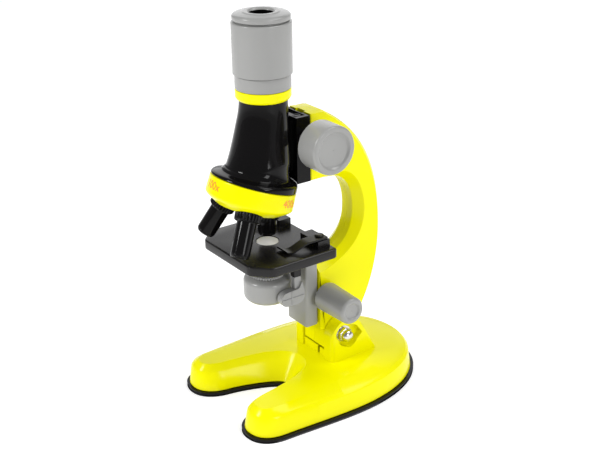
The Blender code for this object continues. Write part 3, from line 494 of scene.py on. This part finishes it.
def arm_outlines(steps=24):
    """The arm's outline at its seam, the one on its outer face, and how far out the first runs."""
    front_x, outer_x, inner_x = 9.1, 7.0, 4.6
    middle = [(HEAD_FRONT, HEAD_BOTTOM), (HEAD_FRONT, HEAD_TOP)]
    side = [(HEAD_FRONT + 0.5, HEAD_BOTTOM + 0.5), (HEAD_FRONT + 0.5, HEAD_TOP - 0.5)]
    depth = [front_x, front_x]
    middle += bezier((3.4, HEAD_TOP), (34.85, 146.7), (42.8, 119.7), (42.8, 88.0), steps)
    side += bezier((2.8, HEAD_TOP - 0.5), (32.5, 145.5), (40.5, 118.5), (40.5, 88.0), steps)
    depth += [outer_x] * steps
    middle += bezier((42.8, 88.0), (42.8, 72.0), (38.2, 55.2), (31.6, 43.8), steps)
    side += bezier((40.5, 88.0), (40.5, 72.4), (36.1, 56.4), (29.8, 45.2), steps)
    depth += [outer_x] * steps
    middle += [(31.6, 43.8)]
    side += [(29.8, 45.2)]
    depth += [outer_x]
    foot = arc((HINGE_Y, HINGE_Z), FOOT_RADIUS, 0, -142.1, 40)
    middle += foot + [(FOOT_FRONT, 34.9), (ARM_FRONT, 35.6)]
    side += arc((HINGE_Y, HINGE_Z), FOOT_RADIUS - 0.5, 0, -142.1, 40)
    side += [(FOOT_FRONT + 0.5, 35.4), (ARM_FRONT + 0.5, 36.1)]
    depth += [front_x] * (len(foot) + 2)
    middle += bezier((ARM_FRONT, 75.8), (15.0, 78.0), (25.8, 85.0), (25.8, 102.5), steps)
    side += bezier((ARM_FRONT + 0.3, 71.2), (12.0, 74.5), (30.0, 81.0), (30.6, 102.0), steps)
    depth += [inner_x] * steps
    middle += bezier((25.8, 102.5), (25.8, 114.0), (21.0, 124.2), (11.0, 124.6), steps)
    side += bezier((30.6, 102.0), (30.6, 114.0), (24.5, 128.3), (13.0, 128.4), steps)
    depth += [inner_x] * steps
    middle += [(11.0, 124.6), (2.0, HEAD_BOTTOM)]
    side += [(13.0, 128.4), (2.4, HEAD_BOTTOM + 0.5)]
    depth += [inner_x, front_x]
    return middle, side, depth


def arm_half():
    middle, side, depth = arm_outlines()
    rings = [
        [(SEAM, y, z) for y, z in middle],
        [(x, y, z) for x, (y, z) in zip(depth, middle)],
        [(ARM_HALF, y, z) for y, z in side],
    ]
    return cut(
        loft(rings),
        along_x(cylinder(BORE, -12, 12), 0, HINGE_Y, HINGE_Z),
        along_x(cylinder(BORE, -12, 12), 0, STAGE_KNOB_Y, STAGE_KNOB_Z),
        box((-4.0, -3.0, 52.5), (4.0, 7.0, 62.5)),
        box((-3.5, HEAD_FRONT - 1, HEAD_BOTTOM - 1), (3.5, -2.2, RACK_END)),
        box((-3.5, HEAD_FRONT - 1, RACK_END - 1), (3.5, HEAD_FRONT + 1.2, HEAD_TOP + 1)),
    )


def build_arm(yellow, steel):
    piece("arm_right_skin", arm_half(), yellow, "arm", ["arm_right"], bevel=0.5)
    sinks = [along_x(cylinder(3.0, -12, -6.0), 0, y, z) for y, z in ARM_SCREWS]
    left = cut(mirrored(arm_half()), *sinks)
    piece("arm_left_skin", left, yellow, "arm", ["arm_left"], bevel=0.5)
    for i, (y, z) in enumerate(ARM_SCREWS, 1):
        screw = along_x(cross_screw(2.6, 1.9, 13.0), -8.2, y, z)
        piece(f"arm_screw_{i}_skin", screw, steel, "arm", [f"arm_screw_{i}"], bevel=0.08)


def cross_screw(radius, head, length):
    """A screw along +Z whose domed head, with a cross recess, starts at 0."""
    shank = 1.1
    profile = [(0, 0), (radius * 0.6, 0.05), (radius * 0.92, 0.35), (radius, head)]
    profile += [(shank, head), (shank, length), (0, length)]
    reach, half, depth = radius * 0.55, 0.3, 0.9
    return cut(
        turned(profile, SMALL),
        box((-reach, -half, -1), (reach, half, depth)),
        box((-half, -reach, -1), (half, reach, depth)),
    )


# ---------------------------------------------------------------- tube, eyepiece and focus knobs


def ring_at(centre, tilt, radius):
    """A circle whose plane drops towards the rear by an angle, starting at its rear."""
    back = Vector((0.0, math.cos(tilt), -math.sin(tilt)))
    ring = []
    for i in range(ROUND):
        angle = 2 * math.pi * i / ROUND
        sideways = Vector((radius * math.sin(angle), 0, 0))
        ring.append(tuple(centre + sideways + back * (radius * math.cos(angle))))
    return ring


def tube_rings(grow=0.0):
    """Rings down the tube: level ones with a straight rear, then a flare into the tilted flange."""
    sections = [(175.0, 12.6), (172.0, 12.72), (169.0, 12.93), (166.0, 13.25), (163.0, 13.64)]
    sections += [(160.0, 14.02), (154.0, 14.79), (148.0, 15.62), (143.5, 16.36)]
    rings = [ring_at(Vector((0, TUBE_REAR - r, z)), 0.0, r + grow) for z, r in sections]
    start_radius, end_radius = 16.66, 18.2
    start = Vector((0, TUBE_REAR - start_radius, 142.0))
    end, end_tilt = TURRET_CENTRE + TURRET_AXIS * -17.6, math.radians(13.0)
    steps = 8
    for step in range(steps + 1):
        t = step / steps
        radius = start_radius + (end_radius - start_radius) * t**3
        tilt = end_tilt * t * t * (3 - 2 * t)
        rings.append(ring_at(start.lerp(end, t), tilt, radius + grow))
    flange = [(-17.25, 13.5, 18.8), (-16.9, 14.0, 19.6), (-16.5, 14.5, 20.6), (-16.2, 14.8, 21.5)]
    flange += [(-15.9, 15.0, 22.2), (-15.2, 15.5, 22.9), (-14.6, 16.4, 23.03), (-12.9, 19.2, 23.1)]
    for along, tilt, radius in flange:
        centre = TURRET_CENTRE + TURRET_AXIS * along
        rings.append(ring_at(centre, math.radians(tilt), radius + grow))
    return rings


def build_tube(yellow, black, grey):
    bore = turned([(0, 110), (3.9, 110), (3.9, 146), (9.5, 152), (9.5, 180), (0, 180)])
    tube = cut(loft(tube_rings()), moved(bore, 0, TUBE_Y))
    piece("tube_body_skin", tube, black, "tube", ["tube_body"], bevel=0.3)
    front, rear, bottom, top = -14.6, HEAD_FRONT - 0.3, 127.4, 163.8
    outline = [(rear, bottom), (front, bottom), (front, top), (rear, top)]
    block = cut(
        join(prism_x(outline, -ARM_HALF, ARM_HALF), box((-5.4, -15.9, 134.0), (5.4, -14.0, 162.0))),
        loft(tube_rings(0.3)),
        box((-7.6, -14.0, 162.7), (7.6, -7.8, 170.0)),
        box((-3.6, -7.2, 120.0), (3.6, -5.0, 170.0)),
    )
    boss = [(0, 160), (2.4, 160), (2.4, 163.4), (2.1, 163.7)]
    boss += [(1.5, 163.7), (1.3, 163.4), (0, 163.4)]
    block = join(block, moved(turned(boss, SMALL), 4.6, -11.2))
    piece("tube_carriage_skin", block, black, "tube", ["tube_carriage"], bevel=0.4)
    low, high = 175.3, 180.8
    collar = [(SLEEVE_INNER, low), (13.6, low), (SLEEVE_OUTER, 176.6)]
    collar += [(SLEEVE_OUTER, high), (SLEEVE_INNER, high)]
    collar = moved(turned(collar, corner=0.35), 0, TUBE_Y)
    piece("tube_collar_skin", collar, yellow, "tube", ["tube_collar"])
    low, high = 181.1, 188.2
    sleeve = [(SLEEVE_INNER, low), (SLEEVE_OUTER, low), (SLEEVE_OUTER, high), (SLEEVE_INNER, high)]
    sleeve = moved(turned(sleeve, corner=0.25), 0, TUBE_Y)
    piece("eyepiece_sleeve_skin", sleeve, grey, "tube", ["eyepiece_sleeve"])


def build_eyepiece(grey, black, glass):
    barrel = [
        (7.6, 178.0),
        (9.3, 178.0),
        (9.3, 188.5),
        (15.36, 188.5),
        (15.36, 214.7),
        (14.9, 215.1),
        (13.4, 215.1),
        (13.4, 215.6),
        (7.6, 215.6),
    ]
    barrel = moved(turned(barrel, LARGE, corner=0.4), 0, TUBE_Y)
    piece("eyepiece_barrel_skin", barrel, grey, "eyepiece", ["eyepiece_barrel"])
    lid = [(6.2, 215.9), (14.8, 215.9), (14.8, 218.2), (13.6, 219.0)]
    lid += [(9.6, 219.6), (9.2, 220.0), (7.2, 220.0), (6.2, 219.0)]
    lid = moved(turned(lid, LARGE, corner=0.6), 0, TUBE_Y)
    piece("eyepiece_lid_skin", lid, grey, "eyepiece", ["eyepiece_lid"])
    # Painted shade: a thin black ring inside the eye hole stands in for the shade that falls there.
    # It is not a real lining.
    eye_hole_shade = turned([(5.9, 214.6), (6.15, 214.6), (6.15, 219.0), (5.9, 219.0)])
    piece("eye_hole_painted_shade", moved(eye_hole_shade, 0, TUBE_Y), black, "eyepiece")
    eye = [(0, 210.5), (3.5, 210.8), (7.2, 212.0), (7.2, 213.0)]
    eye += [(5.4, 213.6), (2.8, 214.1), (0, 214.3)]
    eye = moved(turned(eye, corner=0.2), 0, TUBE_Y)
    piece("eye_lens_skin", eye, glass, "eyepiece", ["eye_lens"])


def build_focus_knobs(grey):
    profile = [
        (2.2, 10.1),
        (4.0, 10.1),
        (4.0, 21.5),
        (13.0, 21.5),
        (13.0, 34.6),
        (12.4, 35.5),
        (10.0, 35.5),
        (8.9, 34.2),
        (0, 34.2),
        (0, 24.4),
        (2.2, 24.4),
    ]
    for name, side in (("right", 1), ("left", -1)):
        knob = along_x(turned(profile, LARGE, corner=0.5), 0, FOCUS_Y, FOCUS_Z, side)
        piece(f"focus_knob_{name}_skin", knob, grey, "focus_knobs", [f"focus_knob_{name}"])


# ---------------------------------------------------------------- turret


def objective_axes():
    """Where each objective leaves the turret, and the way it points."""
    axes = {}
    for i, power in enumerate(OBJECTIVES):
        angle = 2 * math.pi * i / 3
        outward = TURRET_BACK * math.cos(angle) + Vector((math.sin(angle), 0, 0))
        start = TURRET_CENTRE + outward * OBJECTIVE_CIRCLE
        axes[power] = (start, TURRET_AXIS * math.cos(TILT) + outward * math.sin(TILT))
    return axes


def number(name, text, angle, ink):
    """A number printed round the turret's band, centred at an angle from the front towards +X."""
    curve = bpy.data.curves.new(name, "FONT")
    curve.body = text
    curve.size = 6.0
    curve.align_x = "CENTER"
    curve.align_y = "CENTER"
    curve.extrude = 0.08
    curve.resolution_u = 4
    writing = bpy.data.objects.new(name, curve)
    bpy.context.scene.collection.objects.link(writing)
    bpy.context.view_layer.update()
    flat = writing.evaluated_get(bpy.context.evaluated_depsgraph_get())
    mesh = bmesh.new()
    mesh.from_mesh(flat.to_mesh())
    flat.to_mesh_clear()
    bpy.data.objects.remove(writing)
    bpy.data.curves.remove(curve)
    bmesh.ops.triangulate(mesh, faces=mesh.faces)
    long_edges = [edge for edge in mesh.edges if edge.calc_length() > 0.8]
    bmesh.ops.subdivide_edges(mesh, edges=long_edges, cuts=1)
    for vertex in mesh.verts:
        turn = angle + vertex.co.x / (BAND_RADIUS + 0.2)
        along = BAND_TOP + 4.6 - vertex.co.y
        radius = BAND_RADIUS + 0.4 * (along - BAND_TOP) / 9.2 + vertex.co.z
        outward = Vector((math.sin(turn), 0, 0)) - TURRET_BACK * math.cos(turn)
        vertex.co = TURRET_CENTRE + TURRET_AXIS * along + outward * radius
    piece(name, mesh, ink, "turret")


def build_turret(yellow, black, ink):
    profile = [
        (2.0, BAND_TOP),
        (BAND_RADIUS, BAND_TOP),
        (23.6, -3.2),
        (22.4, -2.0),
        (17.0, 1.5),
        (2.0, 1.5),
    ]
    ring = aimed(turned(profile, 160, corner=0.7), TURRET_CENTRE, TURRET_AXIS)
    seat, socket = 7.7, 4.6
    cutters = []
    for start, direction in objective_axes().values():
        cutters.append(aimed(cylinder(seat, 0.3, 14), start, direction))
        cutters.append(aimed(cylinder(socket, -20, 1), start, direction))
    piece("turret_ring_skin", cut(ring, *cutters), yellow, "turret", ["turret_ring"], bevel=0.2)
    for power, (start, direction) in objective_axes().items():
        length = OBJECTIVES[power]
        profile = [
            (3.2, -7.0),
            (4.3, -7.0),
            (4.3, 0.6),
            (6.8, 0.6),
            (7.2, 1.1),
            (7.1, 3.4),
            (7.0, 5.5),
            (6.4, 6.1),
            (5.4, 6.2),
            (5.2, 6.8),
            (5.15, length - 1.6),
            (4.95, length - 1.5),
            (4.95, length - 1.2),
            (5.05, length - 1.1),
            (4.6, length),
            (3.4, length),
            (3.2, length - 0.4),
        ]
        barrel = turned(profile, 192, flutes=24, depth=0.55, between=(1.0, 5.8), corner=0.12)
        nodes = [f"objective_{power}_barrel"]
        piece(f"objective_{power}_skin", aimed(barrel, start, direction), black, "turret", nodes)
    for text, angle in (("100x", -5), ("400x", 116), ("1200x", 235)):
        number("turret_number_" + text[:-1], text, math.radians(angle), ink)


# ---------------------------------------------------------------- stage


def stage_outline():
    half, front, rear, chamfer = 31.1, -54.8, -4.3, 9.2
    right = [(half, rear), (half, front + chamfer), (half - chamfer, front)]
    return rounded(right + [(-x, y) for x, y in reversed(right)], 2.5, 8)


def stage_plate():
    """The plate with its clip blocks on top and, below, the lugs that hide the yoke's legs."""
    outline = list(reversed(stage_outline()))
    levels = [(0.0, 1.1), (0.15, 0.55), (0.5, 0.15), (1.1, 0.0)]
    levels += [(4.5, 0.0), (5.1, 0.15), (5.45, 0.55), (5.6, 1.1)]
    rings = []
    for height, inset in levels:
        rings.append([(x, y, STAGE_BOTTOM + height) for x, y in offset(outline, inset)])
    block_top = 99.6
    lug_front, lug_bottom, lug_top = -23.2, 78.3, STAGE_BOTTOM + 1.0
    blocks = []
    for side in (1, -1):
        low, high = sorted((side * 9.9, side * 26.2))
        blocks.append(box((low, -13.6, STAGE_TOP - 1.0), (high, -5.9, block_top)))
        low, high = sorted((side * 15.9, side * 17.4))
        blocks.append(box((low, lug_front, lug_bottom), (high, -18.7, lug_top)))
        low, high = sorted((side * 13.7, side * 17.4))
        blocks.append(box((low, lug_front, lug_bottom), (high, lug_front + 1.0, lug_top)))
    return cut(
        join(loft(rings), *blocks),
        moved(cylinder(6.3, 93.4, 100, ROUND), 0, TUBE_Y),
        moved(cylinder(5.0, 80, 100, ROUND), 0, TUBE_Y),
        moved(cylinder(CLIP_HOLE, 97.0, 110), CLIP_X, CLIP_Y),
        moved(cylinder(CLIP_HOLE, 97.0, 110), -CLIP_X, CLIP_Y),
    )


def stage_column():
    half, front, rear = 9.16, -9.8, -1.5
    corners = [(half, rear), (half, front), (-half, front), (-half, rear)]
    column = prism_z(rounded(corners, 1.7, 6), 39.8, COLUMN_TOP)
    return cut(column, box((-3.2, -4.6, 30.0), (3.2, 1.0, 84.0)))


def lamp_yoke():
    """The bar behind the lamp, and on each side a leg and a pad with a cross for the lamp's axle."""
    pad = arc((LAMP_Y + 1.1, LAMP_Z), 4.1, 90, 270, 28)
    bend = [(-21.4, 62.4), (-18.4, 63.4), (-17.0, 66.0), (-17.1, 69.5)]
    bend += [(-17.9, 72.5), (-18.9, 75.5), (-19.6, 73.0), (-21.0, 71.4)]
    pad += rounded(bend, 1.4, 4, closed=False)
    inner, leg, rib = 14.0, 15.6, 18.5
    yoke = box((-leg, -21.9, 86.6), (leg, -19.2, COLUMN_TOP))
    for side in (1, -1):
        parts = [
            prism_x(pad, inner, 18.2),
            box((inner, -22.9, 68.0), (17.0, -18.9, 78.0)),
            box((inner, -21.9, 77.0), (leg, -19.2, COLUMN_TOP)),
            box((17.8, -31.9, LAMP_Z - 0.3), (rib, -17.4, LAMP_Z + 0.3)),
            box((17.8, -25.7, LAMP_Z - 3.7), (rib, -25.1, LAMP_Z + 3.7)),
        ]
        yoke = join(yoke, *[part if side > 0 else mirrored(part) for part in parts])
    return cut(yoke, along_x(cylinder(1.9, -17.2, 17.2), 0, LAMP_Y, LAMP_Z))


def build_stage(black, grey, frosted):
    piece("stage_plate_skin", stage_plate(), black, "stage", ["stage_plate"], bevel=0.45)
    window = turned([(0, 93.7), (6.0, 93.7), (6.0, 95.2), (0, 95.2)], corner=0.2)
    piece("stage_window_skin", moved(window, 0, TUBE_Y), frosted, "stage", ["stage_window"])
    piece("stage_column_skin", stage_column(), grey, "stage", ["stage_column"], bevel=0.5)
    piece("lamp_yoke_skin", lamp_yoke(), grey, "stage", ["lamp_yoke"], bevel=0.4)
    for name, side in (("right", 1), ("left", -1)):
        stud = [(0, 97.4), (1.2, 97.4), (1.2, 101.3), (2.5, 101.3)]
        stud += [(2.5, 101.7), (1.9, 102.05), (0, 102.1)]
        stud = moved(turned(stud, SMALL, corner=0.25), side * CLIP_X, CLIP_Y)
        piece(f"clip_stud_{name}_skin", stud, black, "stage", [f"clip_stud_{name}"])


def clip_shape():
    """The right clip: flat under its stud, an S-bend down to the stage and an upturned tip."""
    stations = [
        (-6.6, 99.9, 19.7, 25.4),
        (-7.4, 99.9, 19.2, 25.9),
        (-14.0, 99.9, 19.2, 25.9),
        (-18.6, 99.9, 19.2, 25.8),
        (-19.8, 99.7, 19.15, 25.7),
        (-21.0, 99.2, 19.0, 25.4),
        (-25.9, 96.7, 18.1, 24.2),
        (-27.0, 96.1, 17.5, 23.8),
        (-28.0, 95.8, 16.4, 23.4),
        (-29.2, 95.7, 14.9, 22.9),
        (-30.2, 95.9, 14.0, 22.5),
        (-30.9, 96.4, 13.4, 22.1),
        (-31.4, 96.9, 13.2, 21.8),
    ]
    thickness, lean = 1.1, 0.2
    rings = []
    for y, z, low, high in stations:
        front, top = y - lean, z + thickness
        rings.append([(low, y, z), (high, y, z), (high, front, top), (low, front, top)])
    return loft(rings)


def build_clips(black):
    for name, side in (("right", 1), ("left", -1)):
        clip = cut(clip_shape(), moved(cylinder(CLIP_HOLE, 90, 110), CLIP_X, CLIP_Y))
        if side < 0:
            clip = mirrored(clip)
        piece(f"clip_{name}_skin", clip, black, f"clip_{name}", [f"clip_{name}"], bevel=0.3)


def build_stage_knobs(grey):
    profile = [(2.2, 10.1), (4.0, 10.1), (4.0, 11.8), (7.9, 11.8), (8.3, 13.0), (7.6, 34.8)]
    profile += [(6.6, 36.0), (4.9, 36.0), (4.0, 34.9), (0, 34.9), (0, 24.4), (2.2, 24.4)]
    for name, side in (("right", 1), ("left", -1)):
        knob = along_x(turned(profile, LARGE, corner=0.6), 0, STAGE_KNOB_Y, STAGE_KNOB_Z, side)
        piece(f"stage_knob_{name}_skin", knob, grey, "stage_knobs", [f"stage_knob_{name}"])


# ---------------------------------------------------------------- lamp


def build_lamp(grey, clear):
    low = 61.3
    profile = [
        (0, low + 0.9),
        (8.6, low + 0.9),
        (8.6, low),
        (9.2, low),
        (11.4, low + 0.8),
        (12.6, low + 2.2),
        (13.0, low + 4.2),
        (13.0, 73.2),
        (12.5, 74.4),
        (11.4, 75.2),
        (9.4, 76.0),
        (8.2, 76.0),
        (8.2, 74.8),
        (10.6, 73.6),
        (10.6, low + 3.0),
        (0, low + 3.0),
    ]
    housing = join(
        moved(turned(profile, LARGE, corner=0.6), 0, LAMP_Y),
        along_x(cylinder(1.6, 11.8, 16.9), 0, LAMP_Y, LAMP_Z),
        along_x(cylinder(1.6, 11.8, 16.9), 0, LAMP_Y, LAMP_Z, -1),
    )
    piece("lamp_housing_skin", housing, grey, "lamp", ["lamp_housing"])
    profile = [(7.2, 76.3), (10.0, 76.3), (10.0, 77.0), (10.0, 77.5), (9.5, 77.8), (7.2, 77.8)]
    bezel = turned(profile, 320, flutes=40, depth=0.6, between=(76.2, 77.7), corner=0.15)
    piece("lamp_bezel_skin", moved(bezel, 0, LAMP_Y), grey, "lamp", ["lamp_bezel"])
    profile = [(0, 75.6), (6.9, 75.6), (6.9, 77.3), (4.8, 78.2), (2.5, 78.7), (0, 78.8)]
    lens = moved(turned(profile, corner=0.4), 0, LAMP_Y)
    piece("lamp_lens_skin", lens, clear, "lamp", ["lamp_lens"])


# ---------------------------------------------------------------- scene


def soft_light(name, place, size, power):
    """A rectangular light, aimed at the middle of the object."""
    light = bpy.data.lights.new(name, "AREA")
    light.shape = "RECTANGLE"
    light.size, light.size_y = size
    light.energy = power
    lamp = bpy.data.objects.new(name, light)
    lamp.location = place
    aim = Vector((0.0, 0.0, 0.1)) - Vector(place)
    lamp.rotation_euler = aim.to_track_quat("-Z", "Y").to_euler()
    bpy.context.scene.collection.objects.link(lamp)


def build_floor():
    floor = bmesh.new()
    bmesh.ops.create_grid(floor, x_segments=1, y_segments=1, size=6.0)
    data = bpy.data.meshes.new("floor")
    floor.to_mesh(data)
    floor.free()
    ground = bpy.data.objects.new("floor", data)
    bpy.context.scene.collection.objects.link(ground)
    pale, other = (0.93, 0.93, 0.93), (0.9, 0.9, 0.9)
    paint = material("floor paint", "floor", pale, other, 0.8, specular=0.1, bump=0.0)
    data.materials.append(paint)
    glow = paint.node_tree.nodes["Principled BSDF"]
    glow.inputs["Emission Color"].default_value = (1.0, 1.0, 1.0, 1.0)
    glow.inputs["Emission Strength"].default_value = 0.37


def build_lights():
    world = bpy.data.worlds.new("studio")
    world.use_nodes = True
    backdrop = world.node_tree.nodes["Background"]
    backdrop.inputs["Color"].default_value = (0.95, 0.96, 1.0, 1.0)
    backdrop.inputs["Strength"].default_value = 0.33
    bpy.context.scene.world = world
    soft_light("key", (-0.25, -1.05, 0.85), (0.3, 0.4), 9.5)
    soft_light("fill", (1.15, 0.05, 0.45), (0.3, 0.5), 3.7)
    soft_light("top", (0.35, 0.45, 0.95), (0.5, 0.5), 4.4)
    soft_light("card", (-0.8, 0.56, 0.5), (1.0, 0.7), 2.4)
    bpy.context.scene.view_settings.view_transform = "Standard"


def build_camera():
    azimuth, elevation = math.radians(CAMERA_AZIMUTH), math.radians(CAMERA_ELEVATION)
    roll = math.radians(CAMERA_ROLL)
    level = math.cos(elevation)
    back = Vector((math.sin(azimuth) * level, -math.cos(azimuth) * level, math.sin(elevation)))
    right = Vector((math.cos(azimuth), math.sin(azimuth), 0.0))
    up = back.cross(right)
    across = right * math.cos(roll) + up * math.sin(roll)
    upward = up * math.cos(roll) - right * math.sin(roll)
    view = Matrix((across, upward, back)).transposed().to_4x4()
    view.translation = Vector(CAMERA_PLACE)
    camera = bpy.data.cameras.new("camera")
    camera.sensor_width = 36.0
    camera.lens = CAMERA_LENS
    camera.clip_start = 0.01
    holder = bpy.data.objects.new("camera", camera)
    holder.matrix_world = view
    bpy.context.scene.collection.objects.link(holder)
    bpy.context.scene.camera = holder


def main():
    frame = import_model()
    mats = make_materials()
    for entry in frame["record"]["subparts"]:
        node = frame["nodes"][entry["node"]]
        for place in node.material_slots:
            place.material = mats[entry["material_slot"]]

    yellow, grey, steel = mats["yellow_plastic"], mats["grey_plastic"], mats["steel"]
    gloss, satin = mats["gloss_black"], mats["satin_black"]
    build_base(yellow, gloss, steel)
    build_arm(yellow, steel)
    build_tube(yellow, gloss, grey)
    build_eyepiece(grey, gloss, mats["glass"])
    build_focus_knobs(grey)
    build_turret(yellow, gloss, mats["ink"])
    build_stage(mats["deck"], grey, mats["frosted_plastic"])
    build_clips(satin)
    build_stage_knobs(grey)
    build_lamp(grey, mats["clear"])
    build_floor()
    build_lights()
    build_camera()


main()
